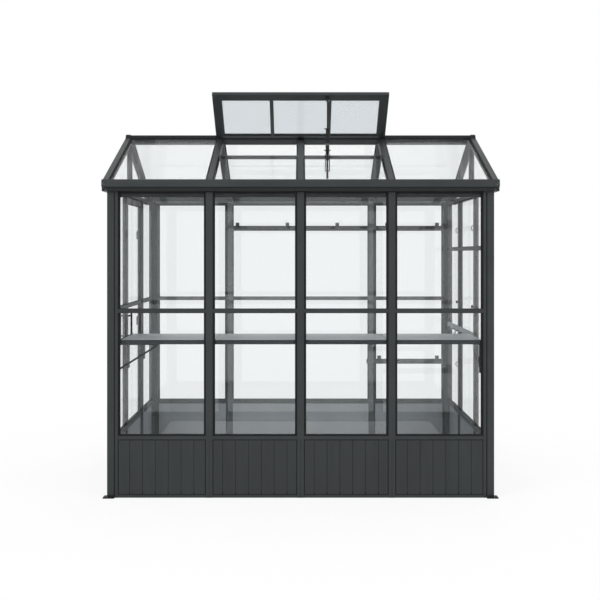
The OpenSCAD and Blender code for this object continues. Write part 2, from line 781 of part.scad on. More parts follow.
// Brackets square to the front wall at its posts and at the right end, one along the wall
// at the left end, and ledges and plates on the left gable posts.
module shelf_brackets() {
    arm_z = shelf_low - arm_h;
    arm_xs = concat(post_xs, [shelf_x - arm_w / 2]);
    left_arm_y = shelf_y0 + left_arm_in;
    plate_x = -inner_x;
    color(frame_grey) {
        for (x = arm_xs) {
            block([x - arm_w / 2, shelf_y0, arm_z], [x + arm_w / 2, shelf_y1 - 30, shelf_low]);
            block([x - arm_w / 2, shelf_y0, arm_z - strut_drop - bracket_foot], [x + arm_w / 2, shelf_y0 + 4, arm_z]);
            strut([x, shelf_y0 + 3, arm_z - strut_drop], [x, shelf_y0 + strut_reach, arm_z + 3], true);
        }
        block([-shelf_x - 2, left_arm_y - arm_w / 2, arm_z],
              [-shelf_x - 2 + left_reach, left_arm_y + arm_w / 2, shelf_low]);
        block([-shelf_x - 2, left_arm_y - arm_w / 2, arm_z - strut_drop - bracket_foot],
              [-shelf_x + 2, left_arm_y + arm_w / 2, arm_z]);
        strut([-shelf_x + 1, left_arm_y, arm_z - strut_drop],
              [-shelf_x + left_reach - 10, left_arm_y, arm_z + 3], false);
        block([plate_x, -gable_post_y - gable_post_w / 2 - 25, shelf_low - front_plate_h],
              [plate_x + plate_t, -gable_post_y + gable_post_w / 2 - 10, shelf_low]);
        block([plate_x, shelf_y1 - 40, shelf_low - arm_h], [-shelf_x + 60, shelf_y1 - 4, shelf_low]);
        block([plate_x, gable_post_y - gable_post_w / 2 + 5, shelf_low - back_plate_down - back_plate_h],
              [plate_x + plate_t, gable_post_y + gable_post_w / 2 - 5, shelf_low - back_plate_down]);
    }
}

// A round bar from one X to another, with upright lugs and with saddles at the posts.
module hanging_bar(x0, x1, z, lug_xs, saddle_xs) {
    translate([x0, bar_y, z]) rotate([0, 90, 0]) cylinder(h = x1 - x0, d = bar_d);
    for (x = lug_xs)
        block([x - lug_w / 2, bar_y - 10, z], [x + lug_w / 2, bar_y + 10, z + bar_d / 2 + bar_lug_h]);
    for (x = saddle_xs)
        block([x - 14, bar_y, z - 12], [x + 14, inner_y, z + 12]);
}

module hanging_bars() {
    upper_lug0 = -bay_pitch + upper_lug_start;
    upper_lug1 = bar_end_x - lug_end;
    color(frame_grey) {
        hanging_bar(-bay_pitch, bar_end_x, upper_bar_z,
                    [for (i = [0:4]) upper_lug0 + i * (upper_lug1 - upper_lug0) / 4], post_xs);
        hanging_bar(bay_pitch - lower_bar_over, bar_end_x, lower_bar_z,
                    [bay_pitch + lower_lug_start, bar_end_x - lug_end], [bay_pitch]);
    }
}

// A flat rail on the inner faces of the right gable's posts, towards the back corner.
module tool_rail() {
    color([0.5, 0.52, 0.53])
    block([inner_x - tool_rail_t, -gable_post_y - gable_post_w / 2 - 8, tool_rail_z - tool_rail_h / 2],
          [inner_x, half_d - corner_w - tool_rail_short, tool_rail_z + tool_rail_h / 2]);
}

// Angle feet around the outside of each corner post, with a raised ring for the ground bolt.
module foot_plates() {
    color([0.13, 0.14, 0.14])
    for (sx = [-1, 1], sy = [-1, 1])
        scale([sx, sy, 1]) {
            block([half_w - foot_reach, half_d, 0], [half_w + foot_out, half_d + foot_out, foot_t]);
            block([half_w, half_d - foot_reach, 0], [half_w + foot_out, half_d + 1, foot_t]);
            block([half_w - foot_reach, half_d, 0], [half_w, half_d + 4, 3 * foot_t]);
            translate([half_w + foot_out / 2, half_d + foot_out / 2, 0])
                cylinder(h = 2 * foot_t, r = foot_ring_r);
        }
}

corner_posts();
front_posts();
back_posts();
left_posts();
right_posts();
front_rails();
back_rails();
left_rails();
right_rails();
front_panels();
back_panels();
left_panels();
right_panels();
front_glazing();
back_glazing();
left_glazing();
right_glazing();
eave_beams();
gutters();
end_caps();
gable_ties();
king_posts();
gable_rafters();
roof_bars();
roof_caps();
ridge_beam();
ridge_cap();
gable_glazing();
front_roof_glazing();
back_roof_glazing();
vent_purlins();
vent_rails();
vent_bars();
vent_glazing();
vent_opener();
door_stiles();
door_rails();
door_panel();
door_glazing();
door_handle();
door_hinge_leaves();
post_hinge_leaves();
shelf_trays();
shelf_brackets();
hanging_bars();
tool_rail();
foot_plates();
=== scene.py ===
# Walk-in greenhouse: finishes, rubber seals, boards, screws and small fittings
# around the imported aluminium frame. Sizes in the dictionaries are millimetres.
import json
import math
import bmesh
import bpy
from mathutils import Matrix, Vector


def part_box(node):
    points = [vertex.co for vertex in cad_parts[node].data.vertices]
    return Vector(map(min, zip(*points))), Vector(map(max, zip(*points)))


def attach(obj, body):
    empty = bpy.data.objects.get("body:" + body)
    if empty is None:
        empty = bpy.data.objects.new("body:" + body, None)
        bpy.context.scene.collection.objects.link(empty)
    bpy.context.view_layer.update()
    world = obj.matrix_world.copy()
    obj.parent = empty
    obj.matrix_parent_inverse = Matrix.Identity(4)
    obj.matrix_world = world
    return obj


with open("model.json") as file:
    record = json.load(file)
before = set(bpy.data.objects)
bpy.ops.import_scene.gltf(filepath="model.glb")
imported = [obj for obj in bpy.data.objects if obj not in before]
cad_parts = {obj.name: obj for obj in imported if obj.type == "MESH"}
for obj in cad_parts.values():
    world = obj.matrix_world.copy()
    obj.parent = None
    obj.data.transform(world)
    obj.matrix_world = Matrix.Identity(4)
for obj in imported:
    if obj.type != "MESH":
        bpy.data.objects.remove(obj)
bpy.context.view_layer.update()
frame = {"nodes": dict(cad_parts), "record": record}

mm = 0.001
nodes = frame["nodes"]
xAxis, yAxis, zAxis = Vector((1, 0, 0)), Vector((0, 1, 0)), Vector((0, 0, 1))
flatAxes = (xAxis, yAxis)
print("frame loaded:", len(nodes), "nodes")


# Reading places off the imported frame

# Corner points of each separate solid in a node, sorted left to right, front to back, upwards
def solidsOf(nodeName):
    mesh = nodes[nodeName].data
    places = {}
    index = [places.setdefault(tuple(round(c, 5) for c in v.co), len(places))
             for v in mesh.vertices]
    points = [Vector(place) for place in places]
    group = list(range(len(points)))

    def root(i):
        while group[i] != i:
            group[i] = group[group[i]]
            i = group[i]
        return i

    for edge in mesh.edges:
        group[root(index[edge.vertices[0]])] = root(index[edge.vertices[1]])
    solids = {}
    for i, point in enumerate(points):
        solids.setdefault(root(i), []).append(point)
    return sorted(solids.values(), key=lambda solid: tuple(extents(solid)[0]))


def extents(points):
    low = Vector([min(p[k] for p in points) for k in range(3)])
    high = Vector([max(p[k] for p in points) for k in range(3)])
    return low, high


def boxesOf(nodeName):
    return [extents(solid) for solid in solidsOf(nodeName)]


# Mesh helpers

# Outline points scaled from millimetres, or from shares of a size
def scaled(outline, size=mm):
    return [(a * size, b * size) for a, b in outline]


# A rectangle of outline points between two corners, in millimetres
def oblong(a, b, c, d):
    return scaled([(a, b), (c, b), (c, d), (a, d)])


# An outline of (sideways, outwards) offsets swept from start to end; mitre pulls the ends in
def sweep(bm, start, end, side, out, outline, mitre=0):
    along = (end - start).normalized()
    rings = [[bm.verts.new(place + side * a + out * b + along * (a * pull)) for a, b in outline]
             for place, pull in ((start, mitre), (end, -mitre))]
    count = len(outline)
    for i in range(count):
        j = (i + 1) % count
        bm.faces.new((rings[0][i], rings[0][j], rings[1][j], rings[1][i]))
    bm.faces.new(rings[0][::-1])
    bm.faces.new(rings[1])


# One outline swept round the inside of four corners
def sweepRound(bm, corners, out, outline):
    middle = sum(corners, Vector()) / 4
    for i in range(4):
        start, end = corners[i], corners[(i + 1) % 4]
        side = out.cross(end - start).normalized()
        if side.dot(middle - start) < 0:
            side = -side
        sweep(bm, start, end, side, out, outline, mitre=1)


# A square block between two corners
def block(bm, low, high):
    wide, tall = high[1] - low[1], high[2] - low[2]
    sweep(bm, Vector((low[0], low[1], low[2])), Vector((high[0], low[1], low[2])), yAxis, zAxis,
          [(0, 0), (wide, 0), (wide, tall), (0, tall)])


# A turned shape: (radius, height) pairs round an axis, closed where the radius is 0
def turn(bm, place, axis, outline, segments=16):
    base = Matrix.Translation(place) @ axis.to_track_quat("Z", "Y").to_matrix().to_4x4()
    angles = [2 * math.pi * i / segments for i in range(segments)]
    rings = []
    for radius, height in outline:
        if radius < 1e-6:
            rings.append([bm.verts.new(base @ Vector((0, 0, height)))])
            continue
        around = [(radius * math.cos(a), radius * math.sin(a), height) for a in angles]
        rings.append([bm.verts.new(base @ Vector(point)) for point in around])
    for lower, upper in zip(rings, rings[1:]):
        for i in range(segments):
            j = (i + 1) % segments
            corners = [lower[i % len(lower)], lower[j % len(lower)],
                       upper[j % len(upper)], upper[i % len(upper)]]
            bm.faces.new(list(dict.fromkeys(corners)))


def rod(bm, start, end, radius, segments=16):
    length = (end - start).length
    turn(bm, start, end - start, [(0, 0), (radius, 0), (radius, length), (0, length)], segments)


# Screw and bolt heads, in shares of their radius
headShapes = {
    "panHead": [(0, 0), (1, 0), (1, 0.35), (0.75, 0.62), (0.36, 0.68), (0.3, 0.35), (0, 0.35)],
    "washer": [(0, 0), (1.45, 0), (1.45, 0.22), (0, 0.22)],
    "hexagon": [(0, 0), (1, 0), (1, 0.72), (0.82, 0.86), (0, 0.86)],
    "washerSeat": 0.2}


# Pan-head screw with a small round recess
def screw(bm, place, out, radius):
    turn(bm, place, out, scaled(headShapes["panHead"], radius), 14)


# Hexagon bolt head on a washer
def bolt(bm, place, out, radius):
    turn(bm, place, out, scaled(headShapes["washer"], radius), 20)
    turn(bm, place + out * (headShapes["washerSeat"] * radius), out,
         scaled(headShapes["hexagon"], radius), 6)


def addBevel(obj, width, angle=40):
    bevel = obj.modifiers.new("edge", "BEVEL")
    bevel.width = width * mm
    bevel.segments = 2
    bevel.limit_method = "ANGLE"
    bevel.angle_limit = math.radians(angle)
    bevel.harden_normals = True


smoothBelow = 32  # degrees


# A finished piece from a bmesh: closed normals, smooth where round, riding on its body
def makePiece(name, bm, material, body="house", bevel=0):
    bmesh.ops.recalc_face_normals(bm, faces=bm.faces)
    mesh = bpy.data.meshes.new(name)
    bm.to_mesh(mesh)
    bm.free()
    mesh.materials.append(material)
    mesh.shade_smooth()
    mesh.set_sharp_from_angle(angle=math.radians(smoothBelow))
    piece = bpy.data.objects.new(name, mesh)
    bpy.context.scene.collection.objects.link(piece)
    if bevel:
        addBevel(piece, bevel)
    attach(piece, body)
    return piece


# Material helpers

# sRGB hex colour to the linear values that Blender works in
def linear(hexColour):
    parts = [int(hexColour[i:i + 2], 16) / 255 for i in (1, 3, 5)]
    return tuple(c / 12.92 if c <= 0.04045 else ((c + 0.055) / 1.055) ** 2.4 for c in parts) + (1,)


# Adds a shader node: settings are its own properties, inputs are values or sockets to link
def addNode(tree, kind, inputs={}, **settings):
    made = tree.nodes.new(kind)
    for name, value in settings.items():
        setattr(made, name, value)
    for key, value in inputs.items():
        if isinstance(value, bpy.types.NodeSocket):
            tree.links.new(value, made.inputs[key])
        else:
            made.inputs[key].default_value = value
    return made


def newMaterial(name):
    material = bpy.data.materials.new(name)
    material.use_nodes = True
    material.node_tree.nodes.clear()
    return material, material.node_tree


# How every coat mixes its slow drift with its fine grain
coat = {"grainShare": 0.35, "from": 0.35, "to": 1.0,
        "smoother": 0.05, "rougher": 0.07, "peelDepth": 0.3}


# Coated metal: a base colour that drifts a little over the length, a fine grain that
# breaks up the gloss, and the slight orange peel that a baked coat has.
def coatedMetal(name, finish):
    material, tree = newMaterial(name)
    place = addNode(tree, "ShaderNodeTexCoord").outputs["Object"]
    stretched = addNode(tree, "ShaderNodeMapping", {
        "Vector": place, "Scale": finish["stretch"]}).outputs[0]
    drift = addNode(tree, "ShaderNodeTexNoise", {
        "Vector": stretched, "Scale": 1 / (finish["drift"] * mm),
        "Detail": 3.0, "Roughness": 0.6}).outputs[0]
    grain = addNode(tree, "ShaderNodeTexNoise", {
        "Vector": place, "Scale": 1 / (finish["grain"] * mm),
        "Detail": 2.0, "Roughness": 0.55}).outputs[0]
    both = addNode(tree, "ShaderNodeMath", {0: grain, 1: coat["grainShare"], 2: drift},
                   operation="MULTIPLY_ADD").outputs[0]
    colour = addNode(tree, "ShaderNodeValToRGB", {"Fac": both})
    stops = colour.color_ramp.elements
    for stop, position, shade in ((stops[0], "from", "dark"), (stops[1], "to", "light")):
        stop.position = coat[position]
        stop.color = linear(finish[shade])
    rough = addNode(tree, "ShaderNodeMapRange", {
        "Value": both, "From Min": coat["from"], "From Max": coat["to"],
        "To Min": finish["rough"] - coat["smoother"], "To Max": finish["rough"] + coat["rougher"]})
    peel = addNode(tree, "ShaderNodeBump", {
        "Height": grain, "Strength": finish["peel"], "Distance": coat["peelDepth"] * mm})
    shader = addNode(tree, "ShaderNodeBsdfPrincipled", {
        "Base Color": colour.outputs[0], "Roughness": rough.outputs[0], "Normal": peel.outputs[0],
        "Metallic": finish["metal"], "IOR": 1.5, "Specular IOR Level": finish["gloss"]})
    addNode(tree, "ShaderNodeOutputMaterial", {"Surface": shader.outputs[0]})
    return material


# Powder-coated aluminium: matt charcoal polyester coat, faintly green, orange peel about 2.5 mm
powderCoat = coatedMetal("powderCoatedAluminium", {
    "dark": "#262a2b", "light": "#323738", "rough": 0.46, "gloss": 0.34, "metal": 0.0,
    "stretch": (1, 1, 1), "drift": 260, "grain": 2.5, "peel": 0.12})
# Coated pressed board: the same coat on thin sheet, with the upright streaks that rolling leaves
pressedBoard = coatedMetal("coatedPressedBoard", {
    "dark": "#272a2b", "light": "#323637", "rough": 0.5, "gloss": 0.32, "metal": 0.0,
    "stretch": (1, 1, 0.12), "drift": 70, "grain": 3.0, "peel": 0.15})
# Smooth mid-grey coat on the sheets that line the lower panels inside
linerCoat = coatedMetal("greyPanelLiner", {
    "dark": "#5f6366", "light": "#6c7073", "rough": 0.48, "gloss": 0.4, "metal": 0.0,
    "stretch": (1, 1, 0.3), "drift": 300, "grain": 3.0, "peel": 0.08})
# EPDM rubber: nearly black, soft, with a dusty bloom
rubberSeal = coatedMetal("epdmRubber", {
    "dark": "#121414", "light": "#1c1f1f", "rough": 0.72, "gloss": 0.25, "metal": 0.0,
    "stretch": (1, 1, 1), "drift": 90, "grain": 1.5, "peel": 0.1})
# Folded sheet with a mid-grey satin coat
shelfCoat = coatedMetal("greyCoatedSheet", {
    "dark": "#7d8184", "light": "#95999c", "rough": 0.4, "gloss": 0.5, "metal": 0.0,
    "stretch": (0.15, 1, 1), "drift": 60, "grain": 2.0, "peel": 0.08})
# Black oxide steel: cast and turned fittings, dark with a dull sheen
blackSteel = coatedMetal("blackOxideSteel", {
    "dark": "#171919", "light": "#232626", "rough": 0.42, "gloss": 0.4, "metal": 0.3,
    "stretch": (1, 1, 1), "drift": 60, "grain": 1.2, "peel": 0.12})
# Anodised aluminium tube: grey satin metal drawn along its length
anodisedTube = coatedMetal("anodisedAluminium", {
    "dark": "#5a5d5f", "light": "#73777a", "rough": 0.34, "gloss": 0.5, "metal": 0.85,
    "stretch": (1, 1, 0.1), "drift": 25, "grain": 1.5, "peel": 0.05})
# Zinc-plated screw steel
zincSteel = coatedMetal("zincPlatedSteel", {
    "dark": "#5f6364", "light": "#7b7f80", "rough": 0.36, "gloss": 0.5, "metal": 0.8,
    "stretch": (1, 1, 1), "drift": 12, "grain": 1.0, "peel": 0.05})


# Polycarbonate sheet: a faint cool tint, glossy, with the slow waviness of extruded sheet.
# Lamps pass straight through it, as they nearly do through the real sheet.
def clearSheet(name, finish):
    material, tree = newMaterial(name)
    place = addNode(tree, "ShaderNodeTexCoord").outputs["Object"]
    wave = addNode(tree, "ShaderNodeTexNoise", {
        "Vector": place, "Scale": 1 / (finish["wave"] * mm), "Detail": 1.0}).outputs[0]
    bump = addNode(tree, "ShaderNodeBump", {
        "Height": wave, "Strength": 0.1, "Distance": finish["waveDepth"] * mm})
    haze = addNode(tree, "ShaderNodeTexNoise", {
        "Vector": place, "Scale": 1 / (finish["hazeSize"] * mm), "Detail": 4.0}).outputs[0]
    rough = addNode(tree, "ShaderNodeMapRange", {
        "Value": haze, "From Min": 0.35, "From Max": 0.7, "To Min": 0.0, "To Max": finish["haze"]})
    glass = addNode(tree, "ShaderNodeBsdfPrincipled", {
        "Base Color": linear(finish["tint"]), "Roughness": rough.outputs[0],
        "Normal": bump.outputs[0], "IOR": 1.585, "Transmission Weight": 1.0})
    through = addNode(tree, "ShaderNodeBsdfTransparent", {"Color": linear(finish["shade"])})
    path = addNode(tree, "ShaderNodeLightPath")
    pane = addNode(tree, "ShaderNodeMixShader", {
        0: finish["clear"], 1: glass.outputs[0], 2: through.outputs[0]})
    mixed = addNode(tree, "ShaderNodeMixShader", {
        0: path.outputs["Is Shadow Ray"], 1: pane.outputs[0], 2: through.outputs[0]})
    addNode(tree, "ShaderNodeOutputMaterial", {"Surface": mixed.outputs[0]})
    return material


clearPane = clearSheet("clearPolycarbonate", {
    "tint": "#f6f9fa", "shade": "#fbfcfc", "wave": 320, "waveDepth": 0.6,
    "haze": 0.02, "hazeSize": 60, "clear": 0.92})
# The vent's panes are the same sheet; their grey tint is painted shade for the darker look they take at
# a slant
shadedVentPane = clearSheet("shadedVentPolycarbonate", {
    "tint": "#e6e9ec", "shade": "#e9ecee", "wave": 320, "waveDepth": 0.6,
    "haze": 0.02, "hazeSize": 60, "clear": 0.92})
print("materials made")


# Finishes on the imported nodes

finishes = {
    "clear_polycarbonate": clearPane, "powder_coated_frame": powderCoat,
    "boarded_panel": pressedBoard, "shelf_sheet": shelfCoat,
    "opener_metal": blackSteel, "black_fittings": blackSteel}
edgeRounding = {"powder_coated_frame": 1.0, "boarded_panel": 0.6, "shelf_sheet": 0.8,
                "opener_metal": 0.5, "black_fittings": 0.8}
weldWithin = 0.01


def paintNode(nodeName, material):
    mesh = nodes[nodeName].data
    mesh.materials.clear()
    mesh.materials.append(material)


for part in frame["record"]["subparts"]:
    slotName = part["material_slot"]
    paintNode(part["node"], finishes[slotName])
    if slotName in edgeRounding:
        weld = nodes[part["node"]].modifiers.new("weld", "WELD")
        weld.merge_threshold = weldWithin * mm
        addBevel(nodes[part["node"]], edgeRounding[slotName])
# Grey tinted sheet on the vent panes: painted shade
paintNode("vent_glazing", shadedVentPane)
# Black steel on the ridge cap and the vent purlins: painted shade under the open vent
paintNode("ridge_cap", blackSteel)
paintNode("vent_purlins", blackSteel)
paintNode("tool_rail", linerCoat)
print("nodes painted")


# Rubber seals round the panes

# widths over the pane at each edge; rail is the width at the rails between the panes
seal = {"jamb": 13, "innerJamb": 14, "rail": 2, "sill": 1.5, "height": 9, "innerHeight": 6,
        "head": 6, "frontHeadAndShade": 14, "backHead": 1.5, "innerHead": 3}
# Wedge seal in shares of its width and height: full at the bar, thinning to a lip on the pane
wedgeShape = [(0, 0), (1, 0), (1, 0.16), (0.75, 0.4), (0.45, 1), (0, 1)]


def wedge(width, height):
    return scaled([(a * width, b * height) for a, b in wedgeShape])


# Four corners of an upright pane's face, on the plane given by its fixed coordinate
def uprightCorners(low, high, axis, plane):
    a, b = [(low.y, high.y), (low.x, high.x)][axis]
    corners = [(a, low.z), (b, low.z), (b, high.z), (a, high.z)]
    return [Vector((plane, u, z)) if axis == 0 else Vector((u, plane, z)) for u, z in corners]


# Seals along four edges, each with its own width; the second and fourth run full length
def sealEdges(bm, corners, out, widths, height):
    middle = sum(corners, Vector()) / 4
    for i, width in enumerate(widths):
        start, end = corners[i], corners[(i + 1) % 4]
        along = (end - start).normalized()
        side = out.cross(along)
        if side.dot(middle - start) < 0:
            side = -side
        if i % 2 == 0:
            start, end = start + along * (widths[i - 1] * mm), end - along * (widths[i + 1] * mm)
        sweep(bm, start, end, side, out, wedge(width, height))


def sealUprightPanes(name, glazing, axis, outward, body="house", head=seal["head"]):
    bm = bmesh.new()
    nodeLow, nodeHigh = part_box(glazing)
    out = flatAxes[axis] * outward
    for low, high in boxesOf(glazing):
        outer = high[axis] if outward > 0 else low[axis]
        inside = low[axis] if outward > 0 else high[axis]
        foot = seal["sill"] if low.z < nodeLow.z + mm else seal["rail"]
        top = head if high.z > nodeHigh.z - mm else seal["rail"]
        widths = (foot, seal["jamb"], top, seal["jamb"])
        innerWidths = (foot, seal["innerJamb"], min(top, seal["innerHead"]), seal["innerJamb"])
        sealEdges(bm, uprightCorners(low, high, axis, outer), out, widths, seal["height"])
        sealEdges(bm, uprightCorners(low, high, axis, inside), -out, innerWidths,
                  seal["innerHeight"])
    makePiece(name, bm, rubberSeal, body)


# The wide head seal on the front panes is part rubber seal, part painted shade under the gutter
sealUprightPanes("front_pane_seals", "front_glazing", 1, -1, head=seal["frontHeadAndShade"])
sealUprightPanes("back_pane_seals", "back_glazing", 1, 1, head=seal["backHead"])
sealUprightPanes("left_pane_seals", "left_glazing", 0, -1)
sealUprightPanes("right_pane_seals", "right_glazing", 0, 1)
sealUprightPanes("door_pane_seals", "door_glazing", 0, -1, "door")


# Upper and lower face corners of a pane that slopes across Y
def slopingFaces(points):
    low, high = extents(points)
    ordered = sorted({(round(p.y, 5), round(p.z, 5)) for p in points})
    ends = [ordered[:2], ordered[-2:]]
    faces = []
    for pick in (max, min):
        (ya, za), (yb, zb) = (pick(end, key=lambda p: p[1]) for end in ends)
        faces.append([Vector((low.x, ya, za)), Vector((high.x, ya, za)),
                      Vector((high.x, yb, zb)), Vector((low.x, yb, zb))])
    normal = (faces[0][1] - faces[0][0]).cross(faces[0][2] - faces[0][1]).normalized()
    return faces[0], faces[1], normal if normal.z > 0 else -normal


ventSeal = {"side": 3, "mullion": 1, "free": 9, "hinge": 2, "height": 6, "innerHeight": 6}


def sealVentPanes():
    bm = bmesh.new()
    nodeLow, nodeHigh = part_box("vent_glazing")
    for points in solidsOf("vent_glazing"):
        low, high = extents(points)
        upper, lower, normal = slopingFaces(points)
        left = ventSeal["side"] if low.x < nodeLow.x + mm else ventSeal["mullion"]
        right = ventSeal["side"] if high.x > nodeHigh.x - mm else ventSeal["mullion"]
        widths = (ventSeal["free"], right, ventSeal["hinge"], left)
        sealEdges(bm, upper, normal, widths, ventSeal["height"])
        sealEdges(bm, lower, -normal, widths, ventSeal["innerHeight"])
    makePiece("vent_pane_seals", bm, rubberSeal)


sealVentPanes()


# The front panes' head: a flange behind them, and a dark bead on the sill in front of them
headFlange = {"drop": 38, "thick": 8, "bead": 8, "beadProud": 1.5, "beadOver": 0.5, "beadSunk": 1}


def frontTrim():
    flanges, beads = bmesh.new(), bmesh.new()
    nodeLow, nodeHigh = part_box("front_glazing")
    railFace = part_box("front_rails")[0].y
    for low, high in boxesOf("front_glazing"):
        if high.z > nodeHigh.z - mm:
            block(flanges, (low.x, high.y, high.z - headFlange["drop"] * mm),
                  (high.x, high.y + headFlange["thick"] * mm, high.z))
        if low.z < nodeLow.z + mm:
            front, back = railFace - headFlange["beadProud"] * mm, railFace + headFlange["beadSunk"] * mm
            block(beads, (low.x, front, low.z - headFlange["bead"] * mm),
                  (high.x, back, low.z + headFlange["beadOver"] * mm))
    makePiece("front_head_flanges", flanges, powderCoat, bevel=0.6)
    makePiece("front_sill_beads", beads, rubberSeal)


frontTrim()
print("seals fitted")


# Roof seals: strips along both sides of every cap, and under the panes along the bars

# seat is how far the pane lies over the bars
roofSeal = {"width": 3, "height": 3.6, "lip": 1, "toe": 1.2, "under": 8, "underHeight": 12,
            "seat": 4, "fromRidge": 60, "fromEave": 2, "underFromEave": 55}


def sealRoofSides(name, glazing):
    bm = bmesh.new()
    top = scaled([(0, 0), (roofSeal["width"], 0), (roofSeal["width"], roofSeal["lip"]),
                  (roofSeal["toe"], roofSeal["height"]), (0, roofSeal["height"])])
    bottom = oblong(0, 0, roofSeal["under"], roofSeal["underHeight"])
    for points in solidsOf(glazing):
        upper, lower, normal = slopingFaces(points)
        for corners, out, outline, inset, eaveGap in (
                (upper, normal, top, 0, roofSeal["fromEave"]),
                (lower, -normal, bottom, roofSeal["seat"], roofSeal["underFromEave"])):
            for a, b, side in ((0, 3, xAxis), (1, 2, -xAxis)):
                ridgeEnd, eaveEnd = sorted((corners[a], corners[b]), key=lambda p: abs(p.y))
                down = (eaveEnd - ridgeEnd).normalized()
                shift = side * (inset * mm)
                sweep(bm, ridgeEnd + down * (roofSeal["fromRidge"] * mm) + shift,
                      eaveEnd - down * (eaveGap * mm) + shift, side, out, outline)
    makePiece(name, bm, rubberSeal)


sealRoofSides("front_roof_seals", "front_roof_glazing")
sealRoofSides("back_roof_seals", "back_roof_glazing")


# Boarded skins on the lower panels

boards = {"pitch": 81, "smallest": 40, "groove": 4, "grooveFloor": 1.8, "grooveDepth": 2.6,
          "skin": 4, "liner": 2, "rim": 5, "rimHeight": 3, "rimLip": 2.2,
          "drain": 7, "drainHeight": 11, "drainSunk": 2, "drainProud": 0.4}


# Cross-section of one boarded skin: grooves at the board pitch, equal part boards at both ends
def boardOutline(width):
    count = int((width / mm - 2 * boards["smallest"]) // boards["pitch"])
    first = (width / mm - count * boards["pitch"]) / 2
    grooves = [first + i * boards["pitch"] for i in range(count + 1)]
    outline = [(0, 0), (0, boards["skin"])]
    for g in grooves:
        half, halfFloor = boards["groove"] / 2, boards["grooveFloor"] / 2
        floor = boards["skin"] - boards["grooveDepth"]
        outline += [(g - half, boards["skin"]), (g - halfFloor, floor),
                    (g + halfFloor, floor), (g + half, boards["skin"])]
    outline += [(width / mm, boards["skin"]), (width / mm, 0)]
    return scaled(outline), [g * mm for g in grooves]


def boardPanels(name, panels, axis, outward, body="house"):
    skins, liners, rims, drains = bmesh.new(), bmesh.new(), bmesh.new(), bmesh.new()
    out = flatAxes[axis] * outward
    side = flatAxes[1 - axis]
    rim = boards["rim"]
    rimOutline = scaled([(0, 0), (rim, 0), (rim, boards["rimLip"]), (0, boards["rimHeight"])])
    half = boards["drain"] / 2
    drainOutline = oblong(-half, -boards["drainSunk"], half, boards["drainProud"])
    drainUp = zAxis * (boards["drainHeight"] * mm)
    for low, high in boxesOf(panels):
        for face, facing in ((high[axis], 1), (low[axis], -1)):
            corners = uprightCorners(low, high, axis, face)
            normal = flatAxes[axis] * facing
            sweepRound(rims, corners, normal, rimOutline)
            start = corners[0] + side * (rim * mm) + zAxis * (rim * mm)
            end = start + zAxis * (high.z - low.z - 2 * rim * mm)
            width = (corners[1] - corners[0]).length - 2 * rim * mm
            if facing != outward:
                sweep(liners, start, end, side, normal, oblong(0, 0, width / mm, boards["liner"]))
                continue
            outline, grooves = boardOutline(width)
            sweep(skins, start, end, side, normal, outline)
            for g in grooves:
                place = start + side * g + out * (boards["skin"] * mm)
                sweep(drains, place, place + drainUp, side, out, drainOutline)
    makePiece(name + "_boards", skins, pressedBoard, body)
    makePiece(name + "_liners", liners, linerCoat, body)
    makePiece(name + "_board_seals", rims, rubberSeal, body)
    makePiece(name + "_board_drains", drains, rubberSeal, body)


boardPanels("front", "front_panels", 1, -1)
boardPanels("back", "back_panels", 1, 1)
boardPanels("left", "left_panels", 0, -1)
boardPanels("right", "right_panels", 0, 1)
boardPanels("door", "door_panel", 0, -1, "door")
print("boards fitted")


# Posts: a raised seam strip on each wall post, from its foot to below the sill

postSeam = {"width": 1.6, "topWidth": 0.96, "proud": 0.5, "footGap": 4, "underPane": 31}


def seamPosts(name, posts, glazing, axis, outward):
    bm = bmesh.new()
    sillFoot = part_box(glazing)[0].z - postSeam["underPane"] * mm
    half, topHalf, proud = postSeam["width"] / 2, postSeam["topWidth"] / 2, postSeam["proud"]
    outline = scaled([(-half, 0), (half, 0), (topHalf, proud), (-topHalf, proud)])
    for low, high in boxesOf(posts):
        middle = (low + high) / 2
        middle[axis] = high[axis] if outward > 0 else low[axis]
        start = Vector((middle.x, middle.y, low.z + postSeam["footGap"] * mm))
        end = Vector((middle.x, middle.y, sillFoot))
        sweep(bm, start, end, flatAxes[1 - axis], flatAxes[axis] * outward, outline)
    makePiece(name, bm, rubberSeal)


seamPosts("front_post_seams", "front_posts", "front_glazing", 1, -1)
seamPosts("back_post_seams", "back_posts", "back_glazing", 1, 1)
seamPosts("left_post_seams", "left_posts", "left_glazing", 0, -1)
seamPosts("right_post_seams", "right_posts", "right_glazing", 0, 1)


# Dark strips down the floors of the corner posts' grooves: painted shade in the grooves
grooveShade = {"fromEdge": 43.5, "width": 6, "deep": 5, "under": 1.2, "endGap": 12}


def cornerGrooveShade():
    bm = bmesh.new()
    gap = grooveShade["endGap"] * mm
    outline = oblong(0, -grooveShade["deep"], grooveShade["width"], -grooveShade["under"])
    for low, high in boxesOf("corner_posts"):
        for axis in (0, 1):
            across = 1 - axis
            sign = 1 if (low[axis] + high[axis]) > 0 else -1
            acrossSign = 1 if (low[across] + high[across]) > 0 else -1
            edge = high[across] if acrossSign > 0 else low[across]
            place = Vector((0, 0, low.z + gap))
            place[axis] = high[axis] if sign > 0 else low[axis]
            place[across] = edge - acrossSign * grooveShade["fromEdge"] * mm
            top = place + zAxis * (high.z - low.z - 2 * gap)
            sweep(bm, place, top, flatAxes[across] * -acrossSign, flatAxes[axis] * sign, outline)
    makePiece("corner_groove_shade_strips", bm, rubberSeal)


cornerGrooveShade()


# Screws inside the posts: a pair at the foot, at the sill rail and at the head
postScrew = {"radius": 4.5, "apart": 18, "overFoot": 60, "underPane": 15, "underHead": 40}


